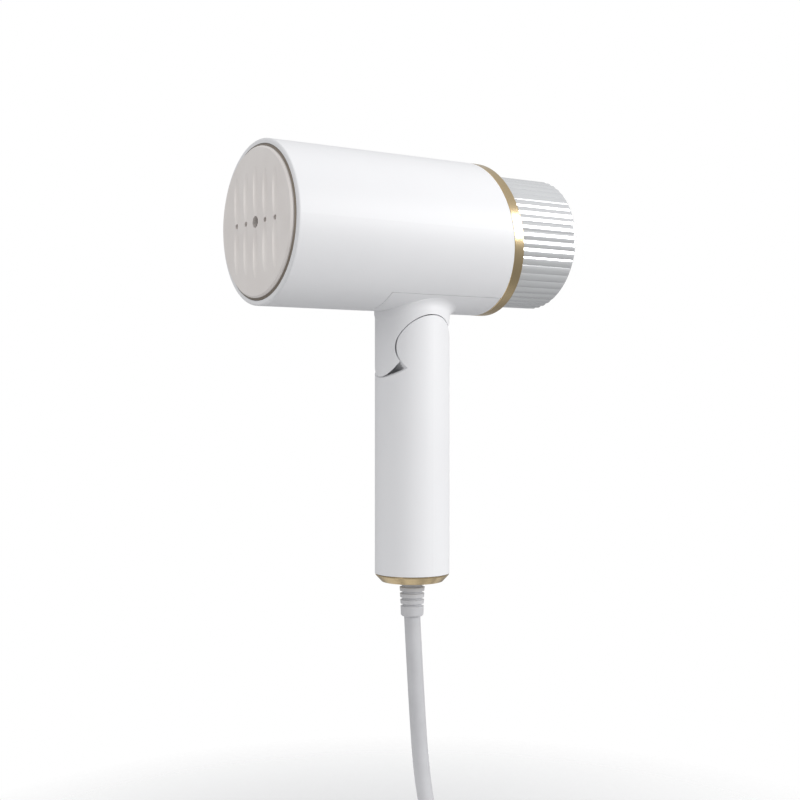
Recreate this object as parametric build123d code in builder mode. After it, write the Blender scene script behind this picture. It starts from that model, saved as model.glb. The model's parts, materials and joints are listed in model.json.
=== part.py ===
"""Handheld garment steamer with a folding handle and a pull-off water tank.

Frame: millimetres, +Z up. The origin is the middle of the grip, on the handle's axis.
The steam plate faces -Y, the water tank is at +Y, and the fold's axis runs along X.
"""

import os
from math import cos, hypot, pi, radians, sin, tan

from build123d import *

os.makedirs("parts", exist_ok=True)

# ---------------------------------------------------------------- driving dimensions
# Overall sizes
grip_radius = 17.5  # handle tube and neck, outside
handle_drop = 105.0  # hinge axis down to the handle's lower end
hinge_height = 60.0  # hinge axis above the middle of the grip
barrel_radius = 36.3  # barrel, outside
belly_height = 16.9  # barrel's underside above the hinge axis
barrel_front = -80.3  # front rim of the barrel, along Y
barrel_back = 32.0  # where the barrel ends and the trim ring starts, on the barrel's axis
tank_step = 4.7  # tank's ribs inside the barrel's outline
tank_length = 36.1  # visible part of the tank, behind the trim ring, on the axis

# Walls and general clearances
barrel_wall = 2.2
handle_wall = 1.9
seam = 0.3  # open line between two covers
part_gap = 0.05  # between a piece and the hole or seat that holds it

# Hinge
ear_radius = 14.8  # handle's round ears, about the hinge axis
ear_gap = 0.45  # between the ears and the neck around them
drum_step = 0.5  # knuckle drum inside the ears' outline
knuckle_half = 8.4  # half the knuckle's width
washer_thickness = 0.7
pin_radius = 3.0
pin_bore_radius = 1.5
running_gap = 0.05  # pin in the knuckle
fold_angle = 80.0  # how far the head folds down on the handle
fold_gap = 0.4  # between the folded handle and the neck
rear_shoulder_drop = 3.7  # handle's flat rear shoulder below the hinge axis
front_shoulder = ((-11.2, -9.65), (-22.0, -16.9))  # (Y, Z) from the hinge axis
apron_edge = ((-12.9, -4.55), (-22.0, -21.9))  # neck's lower front edge

# Saddle: the neck's patch in the barrel's belly
saddle_front = -25.0
saddle_half_angle = 36.1
saddle_lip = 3.0  # how far its inner lip goes past the opening
saddle_lip_thickness = 1.5
neck_blend = 4.5  # fillet from the neck into the belly
blend_trim_radius = 19.2  # round outline that trims the blend, close at the front
blend_trim_shift = 1.6
saddle_recess = 0.05  # saddle's surface below the barrel's, outside the blend

# Steam end
plate_face = -82.0
plate_margin = 1.2  # plate's edge inside the barrel's bore
plate_chamfer = 0.8
plate_thickness = 3.4
centre_hole_radius = 2.55
side_hole_radius = 1.2
hole_pitch = 9.1
groove_width_radius = 3.5  # section of the groove cutter
groove_depth = 0.9
collar_width = 0.9
chamber_margin = 3.4  # chamber's edge inside the plate's
chamber_depth = 15.0
element_radius = 3.2
element_margin = 10.5  # middle of the element inside the chamber's edge
shield_thickness = 0.5
bracket_thickness = 3.0

# Tank end
trim_width = 5.65  # along the barrel
trim_slant = 8.0  # the barrel's end and the trim ring lean forward at the top
dock_depth = 8.0  # dock's back wall in front of the trim ring
nozzle_radius = 4.0
nozzle_bore = 2.6
nozzle_length = 7.0
valve_travel = 2.0
tank_wall = 2.0
ribs = 48  # rounded ribs round the tank
rib_depth = 0.5
rib_round = 4.0  # radius of a rib's crest
tank_rim = 0.8  # plain rim behind the ribs
tank_fit = 0.25  # tank in its trim ring
filler_radius = 7.0

# Grip controls, on the rear of the handle
button_proud = 0.8
button_gap = 0.25
steam_button_drop = 38.0  # below the hinge axis
steam_button_size = (9.6, 21.0)
power_button_drop = 66.0
power_button_radius = 4.6
indicator_drop = 54.5
indicator_radius = 1.5
steam_travel = 1.2
power_travel = 0.8

# Lower end and mains lead
cap_depth = 3.6
relief_length = 16.3
relief_radius = 5.9
relief_ribs = 5
cord_radius = 3.8
coil_radius = 43.0  # middle of the turns
coil_turns_wide = 3
coil_turns_high = 2
coil_centre = (2.0, 84.9)
ground_level = -200.0  # what the put-away lead lies on
plug_size = (24.0, 17.0, 31.0)  # width, height, length

# ---------------------------------------------------------------- places worked out
hinge_z = hinge_height
barrel_rise = belly_height + barrel_radius
barrel_z = hinge_z + barrel_rise
handle_bottom = hinge_z - handle_drop
neck_bore = ear_radius + ear_gap
sleeve_inner = grip_radius - handle_wall
barrel_inner = barrel_radius - barrel_wall
tank_radius = barrel_radius - tank_step
drum_radius = ear_radius - drum_step
plate_radius = barrel_inner - plate_margin
chamber_radius = plate_radius - chamber_margin
element_ring_radius = chamber_radius - element_margin
saddle_inner = barrel_inner - part_gap - saddle_lip_thickness
tank_front = barrel_back + trim_width
slant_reach = barrel_back + 10.0  # past the lowest point of the barrel's slanted end
tank_back = tank_front + tank_length
cheek_inner = knuckle_half + washer_thickness + 2 * part_gap
chassis_radius = sleeve_inner - 3 * part_gap
collar_inner = plate_radius + 0.1
plate_back = plate_face + plate_thickness
chamber_back = plate_back + chamber_depth
bracket_front = chamber_back + 6.0
dock_wall = barrel_back - dock_depth
cover_front = dock_wall + 3.2
rim_radius = tank_radius - rib_depth - 0.2
cover_radius = tank_radius - rib_depth - 0.4
fold_along = (0, sin(radians(fold_angle)), -cos(radians(fold_angle)))
hinge_line = Plane(origin=(0, 0, hinge_z), x_dir=(0, 1, 0), z_dir=(1, 0, 0))


def across(y):
    """Plane across the barrel at y, centred on its axis, facing the tank; its y axis points down."""
    return Plane(origin=(0, y, barrel_z), x_dir=(1, 0, 0), z_dir=(0, 1, 0))


def level(drop):
    """Horizontal plane this far below the hinge axis."""
    return Plane.XY.offset(hinge_z - drop)


def rearward(y, z):
    """Plane facing the rear of the handle, centred at height z."""
    return Plane(origin=(0, y, z), x_dir=(1, 0, 0), z_dir=(0, 1, 0))


def disc(plane, radius, length, bore=0.0, mode=Mode.ADD):
    """Round plate, ring or rod that stands on a plane."""
    with BuildSketch(plane) as outline:
        Circle(radius)
        if bore:
            Circle(bore, mode=Mode.SUBTRACT)
    extrude(outline.sketch, amount=length, mode=mode)


def rods(plane, places, radius, length, mode=Mode.ADD):
    """Equal round rods, or holes, that stand on a plane."""
    with BuildSketch(plane) as outline:
        with Locations(*places):
            Circle(radius)
    extrude(outline.sketch, amount=length, mode=mode)


def block(low, high, mode=Mode.ADD):
    """Square-cornered block between two opposite corners."""
    with BuildSketch(Plane.XY.offset(low[2])) as outline:
        with Locations(((low[0] + high[0]) / 2, (low[1] + high[1]) / 2)):
            Rectangle(high[0] - low[0], high[1] - low[1])
    extrude(outline.sketch, amount=high[2] - low[2], mode=mode)


def spun(points, base, mode=Mode.ADD):
    """Solid of revolution about the barrel axis (base "y") or the handle axis (base "z").

    Each point is (radius, place along the axis).
    """
    if base == "y":
        plane = Plane(origin=(0, 0, barrel_z), x_dir=(1, 0, 0), z_dir=(0, 0, -1))
        axis = Axis((0, 0, barrel_z), (0, 1, 0))
        points = [(radius, -along) for radius, along in points]
    else:
        plane = Plane.XZ
        axis = Axis.Z
    with BuildSketch(plane) as outline:
        with BuildLine():
            Polyline(*points, close=True)
        make_face()
    revolve(outline.sketch, axis=axis, mode=mode)


def belly_sector(y, outer, inner, half_angle, length, mode=Mode.ADD):
    """Part of a tube about the barrel's axis, centred on the underside."""
    reach = 2 * outer
    side = reach * sin(radians(half_angle))
    down = reach * cos(radians(half_angle))
    with BuildSketch(across(y)) as outline:
        Circle(outer)
        Circle(inner, mode=Mode.SUBTRACT)
        Polygon((0, 0), (side, down), (-side, down), align=None, mode=Mode.INTERSECT)
    extrude(outline.sketch, amount=length, mode=mode)


def side_profile(points, half_width, mode, ear=0.0):
    """Prism across the hinge with a (Y, Z) outline from the hinge axis, and a round ear."""
    with BuildSketch(hinge_line.offset(-half_width)) as outline:
        Polygon(*points, align=None)
        if ear:
            Circle(ear)
    extrude(outline.sketch, amount=2 * half_width, mode=mode)


def behind(place, mode):
    """Half-space behind the slanted plane that crosses the barrel's axis at this place."""
    lean = 60 * tan(radians(trim_slant))
    side_profile(
        [
            (place + lean, barrel_rise - 60), (place - lean, barrel_rise + 60),
            (place + 120, barrel_rise + 60), (place + 120, barrel_rise - 60),
        ],
        60, mode,
    )


def lead(points, radius):
    """Solid of a lead: straight runs joined by the largest arcs that they allow."""
    corners = [Vector(*point) for point in points]
    runs = [(b - a).length for a, b in zip(corners, corners[1:])]
    bends = []
    for i in range(1, len(corners) - 1):
        turn = (corners[i] - corners[i - 1]).get_angle(corners[i + 1] - corners[i])
        bends.append(0.45 * min(runs[i - 1], runs[i]) / tan(radians(turn) / 2))
    with BuildLine() as route:
        FilletPolyline(*points, radius=bends)
    with BuildSketch(Plane(origin=route.line @ 0, z_dir=route.line % 0)) as section:
        Circle(radius)
    sweep(section.sketch, path=route.line)
    print("bend radii:", [round(bend, 1) for bend in bends], "length:", round(route.wire().length, 1))


def spring(start, along, radius, wire, height, turns):
    """Coil spring from a point along an axis."""
    with BuildLine() as route:
        Helix(pitch=height / turns, height=height, radius=radius, center=start, direction=along)
    with BuildSketch(Plane(origin=route.line @ 0, z_dir=route.line % 0)) as section:
        Circle(wire)
    sweep(section.sketch, path=route.line, is_frenet=True)


# ---------------------------------------------------------------- head: covers
with BuildPart() as barrel_shell:
    disc(across(barrel_front), barrel_radius, slant_reach - barrel_front, barrel_inner)
    front_edges = barrel_shell.edges().filter_by(GeomType.CIRCLE).group_by(Axis.Y)[0]
    fillet(front_edges.sort_by(SortBy.RADIUS)[-1], radius=0.9)
    belly_sector(
        saddle_front, barrel_radius + 1, barrel_inner - 1, saddle_half_angle,
        slant_reach - saddle_front, mode=Mode.SUBTRACT,
    )
    behind(barrel_back, Mode.SUBTRACT)
barrel_shell.part.label = "barrel_shell"
export_step(barrel_shell.part, "parts/barrel_shell.step")

# The neck's patch, its inner lip and its column are one moulding.
saddle_gap_angle = saddle_half_angle - seam / barrel_radius * 180 / pi
lip_angle = saddle_half_angle + saddle_lip / barrel_inner * 180 / pi
stem_front, stem_back = -9.0, 4.2
screw_places = [(side * (grip_radius - 3.9), y) for side in (-1, 1) for y in (-7.0, 3.0)]
screw_radius = 1.4
flange_top = barrel_z - saddle_inner + 6.95
with BuildPart() as neck_cover:
    with BuildSketch(level(25.0)):
        Circle(grip_radius)
    extrude(amount=25.0 + barrel_rise - saddle_inner + 4)
    belly_sector(
        saddle_front + seam, barrel_radius, saddle_inner, saddle_gap_angle,
        slant_reach - saddle_front,
    )
    behind(barrel_back - seam, Mode.SUBTRACT)
    corner = neck_cover.edges().filter_by(
        lambda e: all(
            abs(hypot(p.X, p.Y) - grip_radius) < 0.02
            and abs(hypot(p.X, p.Z - barrel_z) - barrel_radius) < 0.02
            and p.Z < barrel_z
            for p in (e @ 0.1, e @ 0.5, e @ 0.9)
        )
    )
    fillet(corner, radius=neck_blend)
    # The blend is trimmed to a crease at the front
    with BuildPart(mode=Mode.PRIVATE) as outside_blend:
        disc(Plane.XY.offset(hinge_z), 3 * blend_trim_radius, barrel_rise)
        with BuildSketch(Plane.XY.offset(hinge_z)) as kept:
            with Locations((0, blend_trim_shift)):
                Circle(blend_trim_radius)
        extrude(kept.sketch, amount=barrel_rise, mode=Mode.SUBTRACT)
        disc(
            across(-3 * blend_trim_radius), barrel_radius - saddle_recess,
            6 * blend_trim_radius, mode=Mode.SUBTRACT,
        )
    add(outside_blend.part, mode=Mode.SUBTRACT)
    belly_sector(
        saddle_front - saddle_lip, barrel_inner - part_gap, saddle_inner, lip_angle,
        barrel_back - saddle_front + saddle_lip - 2.0,
    )
    disc(across(saddle_front - 10), saddle_inner, 70, mode=Mode.SUBTRACT)
    # Room for the handle's ears, and for the handle when it is folded under the tank
    side_profile(
        [apron_edge[1], apron_edge[0], (0, 0), (30, 0), (30, -40), (-22.0, -40)],
        30, Mode.SUBTRACT, ear=neck_bore,
    )
    fold_plane = Plane(origin=(0, 0, hinge_z), x_dir=(1, 0, 0), z_dir=fold_along)
    fold_room = grip_radius + fold_gap
    with BuildSketch(fold_plane.offset(rear_shoulder_drop - fold_gap)):
        Circle(fold_room)
        with Locations((0, 20)):
            Rectangle(2 * fold_room, 40)
    extrude(amount=60, mode=Mode.SUBTRACT)
    # Pocket for the knuckle's stem, and its screw holes
    stem_half = knuckle_half + part_gap
    block(
        (-stem_half, stem_front - part_gap, hinge_z + 8),
        (stem_half, stem_back + part_gap, barrel_z), mode=Mode.SUBTRACT,
    )
    rods(level(-16.2), screw_places, screw_radius, 30, mode=Mode.SUBTRACT)
neck_cover.part.label = "neck_cover"
export_step(neck_cover.part, "parts/neck_cover.step")

with BuildPart() as hinge_knuckle:
    disc(hinge_line.offset(-knuckle_half), drum_radius, 2 * knuckle_half)
    block((-knuckle_half, stem_front, hinge_z + 6), (knuckle_half, stem_back, flange_top))
    # Flange that lies on the saddle's inside
    with BuildSketch(across(stem_front - 3.0)) as flange:
        Circle(saddle_inner - part_gap)
        with Locations((0, barrel_z - flange_top + 15)):
            Rectangle(34, 30, mode=Mode.INTERSECT)
    extrude(flange.sketch, amount=stem_back - stem_front + 6.0)
    disc(hinge_line.offset(-30), pin_radius + running_gap, 60, mode=Mode.SUBTRACT)
    rods(level(0), screw_places, screw_radius + part_gap, 60, mode=Mode.SUBTRACT)
    # Way for the wires, from the flange down to the drum's rear
    block((-4, -5, hinge_z + 5), (4, 1, barrel_z), mode=Mode.SUBTRACT)
hinge_knuckle.part.label = "hinge_knuckle"
export_step(hinge_knuckle.part, "parts/hinge_knuckle.step")

with BuildPart() as knuckle_screws:
    rods(level(-16.3), screw_places, screw_radius - part_gap, flange_top - hinge_z - 16.3)
    rods(Plane.XY.offset(flange_top + part_gap), screw_places, 2.6, 1.8)
    rods(Plane.XY.offset(flange_top - 0.1), screw_places, screw_radius - part_gap, 1.0)
knuckle_screws.part.label = "knuckle_screws"
export_step(knuckle_screws.part, "parts/knuckle_screws.step")

with BuildPart() as friction_washers:
    for start in (knuckle_half + part_gap, -cheek_inner + part_gap):
        disc(hinge_line.offset(start), 7.0, washer_thickness, pin_radius + running_gap)
friction_washers.part.label = "friction_washers"
export_step(friction_washers.part, "parts/friction_washers.step")

# ---------------------------------------------------------------- head: steam end
with BuildPart() as plate_collar:
    spun(
        [
            (collar_inner, plate_face + 1.3),
            (collar_inner + collar_width, plate_face + 1.7),
            (collar_inner + collar_width, plate_back + 0.6),
            (barrel_inner - part_gap, plate_back + 0.6),
            (barrel_inner - part_gap, plate_back + 3.0),
            (collar_inner, plate_back + 3.0),
        ],
        "y",
    )
plate_collar.part.label = "plate_collar"
export_step(plate_collar.part, "parts/plate_collar.step")

hole_columns = [i * hole_pitch for i in (-2, -1, 0, 1, 2)]
side_columns = [(x, 0) for x in hole_columns if x]
groove_sweep = 64.0  # radius of the groove cutter's path, so the grooves run out at both ends
with BuildPart() as steam_plate:
    disc(across(plate_face), plate_radius, plate_thickness)
    rim = steam_plate.edges().filter_by(GeomType.CIRCLE).group_by(Axis.Y)[0]
    chamfer(rim, length=plate_chamfer)
    disc(across(plate_face - 1), centre_hole_radius, 10, mode=Mode.SUBTRACT)
    rods(across(plate_face - 1), side_columns, side_hole_radius, 10, mode=Mode.SUBTRACT)
    for x in hole_columns:
        for side in (-1, 1):
            middle = 13.6 if x == 0 else 12.4 - abs(x) / hole_pitch * 0.9
            far = plate_face + groove_depth - groove_sweep - groove_width_radius
            with BuildSketch(
                Plane(origin=(x, far, barrel_z + side * middle), x_dir=(1, 0, 0), z_dir=(0, 0, 1))
            ) as cutter:
                with Locations((0, groove_sweep)):
                    Circle(groove_width_radius)
            turn_line = Axis((x, far, barrel_z + side * middle), (1, 0, 0))
            revolve(cutter.sketch, axis=turn_line, mode=Mode.SUBTRACT)
steam_plate.part.label = "steam_plate"
export_step(steam_plate.part, "parts/steam_plate.step")

gasket_radius = chamber_radius - 3.0
with BuildPart() as chamber_gasket:
    disc(across(plate_back + part_gap), gasket_radius, 1.4, gasket_radius - 2.4)
chamber_gasket.part.label = "chamber_gasket"
export_step(chamber_gasket.part, "parts/chamber_gasket.step")

pipe_radius = 2.2  # water pipes' stubs, outside
pipe_bore = 1.2
chamber_screw_places = [(24.5 * cos(radians(a)), 24.5 * sin(radians(a))) for a in (30, 150, 270)]
with BuildPart() as steam_chamber:
    disc(across(plate_back + part_gap), chamber_radius, chamber_depth - part_gap)
    # Seat of the gasket, and the steam space that opens to the plate
    disc(
        across(plate_back), gasket_radius + part_gap, 1.5,
        gasket_radius - 2.4 - part_gap, mode=Mode.SUBTRACT,
    )
    disc(across(plate_back), gasket_radius - 5.0, 5.5, mode=Mode.SUBTRACT)
    # Channel for the heating element, open to the rear
    channel = element_radius + part_gap
    disc(
        across(chamber_back - 2 * element_radius - 1.0), element_ring_radius + channel, 12,
        element_ring_radius - channel, mode=Mode.SUBTRACT,
    )
    disc(across(chamber_back - 12), pipe_radius, 20, mode=Mode.SUBTRACT)
    rods(across(chamber_back - 6), chamber_screw_places, 1.5, 20, mode=Mode.SUBTRACT)
steam_chamber.part.label = "steam_chamber"
export_step(steam_chamber.part, "parts/steam_chamber.step")

element_y = chamber_back - element_radius - 0.9
element_gap_angle = 15.0  # from the bottom to each end of the element
with BuildPart() as heating_element:
    level_plane = Plane(origin=(0, element_y, barrel_z), x_dir=(1, 0, 0), z_dir=(0, 0, 1))
    with BuildSketch(level_plane) as rod:
        with Locations((element_ring_radius, 0)):
            Circle(element_radius)
    revolve(rod.sketch, axis=Axis((0, element_y, barrel_z), (0, 1, 0)))
    gap_side = 40 * sin(radians(element_gap_angle))
    with BuildSketch(across(element_y - 10)) as gap:
        Polygon((0, 0), (gap_side, 40), (-gap_side, 40), align=None)
    extrude(gap.sketch, amount=20, mode=Mode.SUBTRACT)
    for side in (-1, 1):
        # Cold ends that turn to the rear
        x = side * element_ring_radius * sin(radians(element_gap_angle + 9))
        z = barrel_z - element_ring_radius * cos(radians(element_gap_angle + 9))
        end = Plane(origin=(x, element_y, z), x_dir=(1, 0, 0), z_dir=(0, 1, 0))
        disc(end, element_radius - 0.1, element_radius + 3.5)
        disc(end, 1.4, element_radius + 5.5)
heating_element.part.label = "heating_element"
export_step(heating_element.part, "parts/heating_element.step")

shield_radius = chamber_radius + 2.2
with BuildPart() as heat_shield:
    disc(
        across(plate_back + 3.2), shield_radius, bracket_front - plate_back - 3.2 - part_gap,
        shield_radius - shield_thickness,
    )
heat_shield.part.label = "heat_shield"
export_step(heat_shield.part, "parts/heat_shield.step")

with BuildPart() as chamber_bracket:
    disc(across(bracket_front), barrel_inner - part_gap, bracket_thickness, 17.0)
    # Spacers that hold the chamber
    rods(across(chamber_back + part_gap), chamber_screw_places, 3.6, bracket_front - chamber_back)
    rods(across(chamber_back - 6), chamber_screw_places, 1.6, 40, mode=Mode.SUBTRACT)
    # Ring lugs towards the saddle stay clear of its lip
    belly_sector(
        saddle_front - saddle_lip - 30, barrel_inner + 1, saddle_inner - part_gap, lip_angle + 2, 30,
        mode=Mode.SUBTRACT,
    )
chamber_bracket.part.label = "chamber_bracket"
export_step(chamber_bracket.part, "parts/chamber_bracket.step")

with BuildPart() as chamber_screws:
    head_y = bracket_front + bracket_thickness
    rods(across(chamber_back - 5.5), chamber_screw_places, 1.4, head_y - chamber_back + 5.6)
    rods(across(head_y + part_gap), chamber_screw_places, 2.8, 2.0)
chamber_screws.part.label = "chamber_screws"
export_step(chamber_screws.part, "parts/chamber_screws.step")

with BuildPart() as thermostat:
    disc(rearward(chamber_back + part_gap, barrel_z - 10.2), 5.0, 5.0)
    disc(rearward(chamber_back + 5.0, barrel_z - 10.2), 3.4, 3.5)
thermostat.part.label = "thermostat"
export_step(thermostat.part, "parts/thermostat.step")

with BuildPart() as thermal_fuse:
    fuse_plane = Plane(
        origin=(-6, chamber_back + 2.6, barrel_z + 9.5), x_dir=(0, 1, 0), z_dir=(1, 0, 0)
    )
    disc(fuse_plane, 2.0, 12)
    disc(fuse_plane.offset(-3), 0.6, 18)
thermal_fuse.part.label = "thermal_fuse"
export_step(thermal_fuse.part, "parts/thermal_fuse.step")

# ---------------------------------------------------------------- head: pump and tank dock
pump_low = (-12.0, -33.5, barrel_z - 12.0)
pump_high = (12.0, 2.2, barrel_z + 16.0)
pump_nose = 7.0  # solenoid's core, in front of the body
stub_length = 6.5
with BuildPart() as pump_body:
    block(pump_low, pump_high)
    fillet(pump_body.edges().filter_by(Axis.Y), radius=3.0)
    disc(across(pump_low[1] - pump_nose), 5.0, pump_nose + 0.5)
    disc(across(pump_low[1] - pump_nose - stub_length), pipe_radius, stub_length + 0.5)
    disc(across(pump_high[1] - 0.5), pipe_radius, stub_length + 0.5)
pump_body.part.label = "pump_body"
export_step(pump_body.part, "parts/pump_body.step")

with BuildPart() as pump_cradle:
    block((pump_low[0] - 3, -28.0, flange_top + 2.2), (pump_high[0] + 3, -4.0, pump_low[2] + 6))
    block(
        (pump_low[0] - part_gap, -60, pump_low[2] - part_gap),
        (pump_high[0] + part_gap, 30, barrel_z), mode=Mode.SUBTRACT,
    )
pump_cradle.part.label = "pump_cradle"
export_step(pump_cradle.part, "parts/pump_cradle.step")

hose_radius = 3.5
hose_bore = pipe_radius + part_gap
with BuildPart() as chamber_inlet:
    disc(across(chamber_back - 8.0), pipe_radius - part_gap, 18.0, pipe_bore)
    disc(across(chamber_back + part_gap), 3.4, 2.0, pipe_bore)
chamber_inlet.part.label = "chamber_inlet"
export_step(chamber_inlet.part, "parts/chamber_inlet.step")

with BuildPart() as steam_feed_hose:
    feed_start = chamber_back + 3.0
    disc(across(feed_start), hose_radius, pump_low[1] - pump_nose - 0.3 - feed_start, hose_bore)
steam_feed_hose.part.label = "steam_feed_hose"
export_step(steam_feed_hose.part, "parts/steam_feed_hose.step")

socket_radius = nozzle_radius + 1.6
with BuildPart() as tank_dock:
    disc(across(dock_wall), barrel_inner - part_gap, 2.4)
    disc(across(dock_wall), barrel_inner - part_gap, slant_reach - dock_wall, cover_radius + 0.6)
    behind(barrel_back - part_gap, Mode.SUBTRACT)
    # Socket for the tank's nozzle, with the suction pipe behind it
    disc(across(dock_wall - 8.0), socket_radius + 1.6, 8.5)
    disc(across(dock_wall - 7.0), socket_radius, 20, mode=Mode.SUBTRACT)
    disc(across(dock_wall - 8.0 - stub_length), pipe_radius, stub_length + 0.5)
    disc(across(dock_wall - 9.0 - stub_length), pipe_bore, 15, mode=Mode.SUBTRACT)
    # Step over the saddle's inner lip
    belly_sector(
        dock_wall - 20, barrel_inner + 1, saddle_inner - part_gap, lip_angle + 1.0,
        dock_depth + 25, mode=Mode.SUBTRACT,
    )
tank_dock.part.label = "tank_dock"
export_step(tank_dock.part, "parts/tank_dock.step")

with BuildPart() as dock_seal:
    disc(across(dock_wall - 5.0), socket_radius - part_gap, 4.0, nozzle_radius + part_gap)
dock_seal.part.label = "dock_seal"
export_step(dock_seal.part, "parts/dock_seal.step")

with BuildPart() as suction_hose:
    suction_start = pump_high[1] + 0.3
    disc(across(suction_start), hose_radius, dock_wall - 8.3 - suction_start, hose_bore)
suction_hose.part.label = "suction_hose"
export_step(suction_hose.part, "parts/suction_hose.step")

with BuildPart() as trim_ring:
    disc(across(barrel_back - 10), barrel_radius, trim_width + 20, tank_radius + tank_fit)
    behind(barrel_back + part_gap, Mode.INTERSECT)
    behind(tank_front, Mode.SUBTRACT)
    outer = trim_ring.edges().filter_by(GeomType.ELLIPSE).sort_by(SortBy.LENGTH)[-2:]
    fillet(outer, radius=0.35)
trim_ring.part.label = "trim_ring"
export_step(trim_ring.part, "parts/trim_ring.step")

# ---------------------------------------------------------------- water tank
with BuildPart() as tank_shell:
    with BuildSketch(across(tank_front - 10)) as ribbed:
        Circle(rim_radius)
        with PolarLocations(tank_radius - rib_round, ribs):
            Circle(rib_round)
    extrude(amount=tank_back - tank_rim - tank_front + 10)
    behind(tank_front + seam, Mode.INTERSECT)
    disc(across(tank_back - tank_rim - 0.5), rim_radius, tank_rim + 0.5)
    # Plain spigot that enters the trim ring
    disc(across(cover_front + 3.0), cover_radius, slant_reach + trim_width - cover_front - 3.0)
    disc(across(cover_front), cover_radius - tank_wall, tank_back - tank_wall - cover_front, mode=Mode.SUBTRACT)
    disc(rearward(tank_back - 5, barrel_z + 14), filler_radius - 1.2, 10, mode=Mode.SUBTRACT)
tank_shell.part.label = "tank_shell"
export_step(tank_shell.part, "parts/tank_shell.step")

with BuildPart() as tank_front_cover:
    disc(across(cover_front), cover_radius, 3.0 - part_gap)
    disc(across(cover_front + 2.5), cover_radius - tank_wall - part_gap, 4.5, cover_radius - tank_wall - 2.0)
    disc(across(cover_front - nozzle_length), nozzle_radius, nozzle_length + 0.5)
    disc(across(cover_front + 2.5), nozzle_radius + 1.0, 6.0)
    # Valve well, narrowed at its mouth as the valve's seat
    disc(across(cover_front - nozzle_length - 1), 1.5, 30, mode=Mode.SUBTRACT)
    disc(across(cover_front - nozzle_length + 1.2), nozzle_bore, 12.5, mode=Mode.SUBTRACT)
tank_front_cover.part.label = "tank_front_cover"
export_step(tank_front_cover.part, "parts/tank_front_cover.step")

with BuildPart() as tank_seal:
    disc(
        across(cover_front + 3.1), cover_radius - tank_wall - 2.2, 2.0,
        cover_radius - tank_wall - 3.6,
    )
tank_seal.part.label = "tank_seal"
export_step(tank_seal.part, "parts/tank_seal.step")

valve_seat = cover_front - nozzle_length + 1.2
with BuildPart() as valve_poppet:
    disc(across(valve_seat + part_gap), nozzle_bore - 0.1, 1.2)
    disc(across(valve_seat - 0.9), 0.9, 9.0)
valve_poppet.part.label = "valve_poppet"
export_step(valve_poppet.part, "parts/valve_poppet.step")

with BuildPart() as valve_spring:
    spring((0, valve_seat + 1.7, barrel_z), (0, 1, 0), 1.75, 0.22, 8.6, 5)
valve_spring.part.label = "valve_spring"
export_step(valve_spring.part, "parts/valve_spring.step")

with BuildPart() as pickup_hose:
    hose_start = cover_front + 8.5 + part_gap
    lead(
        [
            (0, hose_start, barrel_z), (0, hose_start + 7.0, barrel_z),
            (0, hose_start + 14.0, barrel_z - 9.0), (0, hose_start + 16.0, barrel_z - 19.0),
        ],
        1.9,
    )
pickup_hose.part.label = "pickup_hose"
export_step(pickup_hose.part, "parts/pickup_hose.step")

with BuildPart() as pickup_weight:
    with BuildSketch(Plane.XY.offset(barrel_z - 27.0)):
        with Locations((0, hose_start + 16.4)):
            Circle(4.2)
    extrude(amount=7.6)
    fillet(pickup_weight.edges().filter_by(GeomType.CIRCLE), radius=1.0)
pickup_weight.part.label = "pickup_weight"
export_step(pickup_weight.part, "parts/pickup_weight.step")

with BuildPart() as filler_plug:
    disc(rearward(tank_back - 4.0, barrel_z + 14), filler_radius - 1.2 - 0.1, 4.5)
    disc(rearward(tank_back + 0.1, barrel_z + 14), filler_radius, 1.6)
    fillet(filler_plug.edges().filter_by(GeomType.CIRCLE).group_by(Axis.Y)[-1], radius=0.7)
    # Finger tab
    tab_low = barrel_z + 14 - filler_radius - 3.0
    block((-2.5, tank_back + 0.1, tab_low), (2.5, tank_back + 1.3, barrel_z + 14 - filler_radius + 1.0))
filler_plug.part.label = "filler_plug"
export_step(filler_plug.part, "parts/filler_plug.step")

# ---------------------------------------------------------------- handle: covers and frame
handle_outline = [
    front_shoulder[1], front_shoulder[0], (0, 0), (0, -rear_shoulder_drop),
    (22.0, -rear_shoulder_drop), (22.0, -handle_drop - 30), (-22.0, -handle_drop - 30),
]
steam_z = hinge_z - steam_button_drop
power_z = hinge_z - power_button_drop
indicator_z = hinge_z - indicator_drop
with BuildPart() as handle_shell:
    disc(level(handle_drop), grip_radius, handle_drop + 20, sleeve_inner)
    side_profile(handle_outline, 30, Mode.INTERSECT, ear=ear_radius)
    disc(
        hinge_line.offset(-cheek_inner), ear_radius + part_gap, 2 * cheek_inner, mode=Mode.SUBTRACT
    )
    with BuildSketch(rearward(5, steam_z)):
        RectangleRounded(
            steam_button_size[0] + 2 * button_gap, steam_button_size[1] + 2 * button_gap,
            steam_button_size[0] / 2,
        )
    extrude(amount=20, mode=Mode.SUBTRACT)
    disc(rearward(5, power_z), power_button_radius + button_gap, 20, mode=Mode.SUBTRACT)
    disc(rearward(5, indicator_z), indicator_radius + part_gap, 20, mode=Mode.SUBTRACT)
handle_shell.part.label = "handle_shell"
export_step(handle_shell.part, "parts/handle_shell.step")

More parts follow.
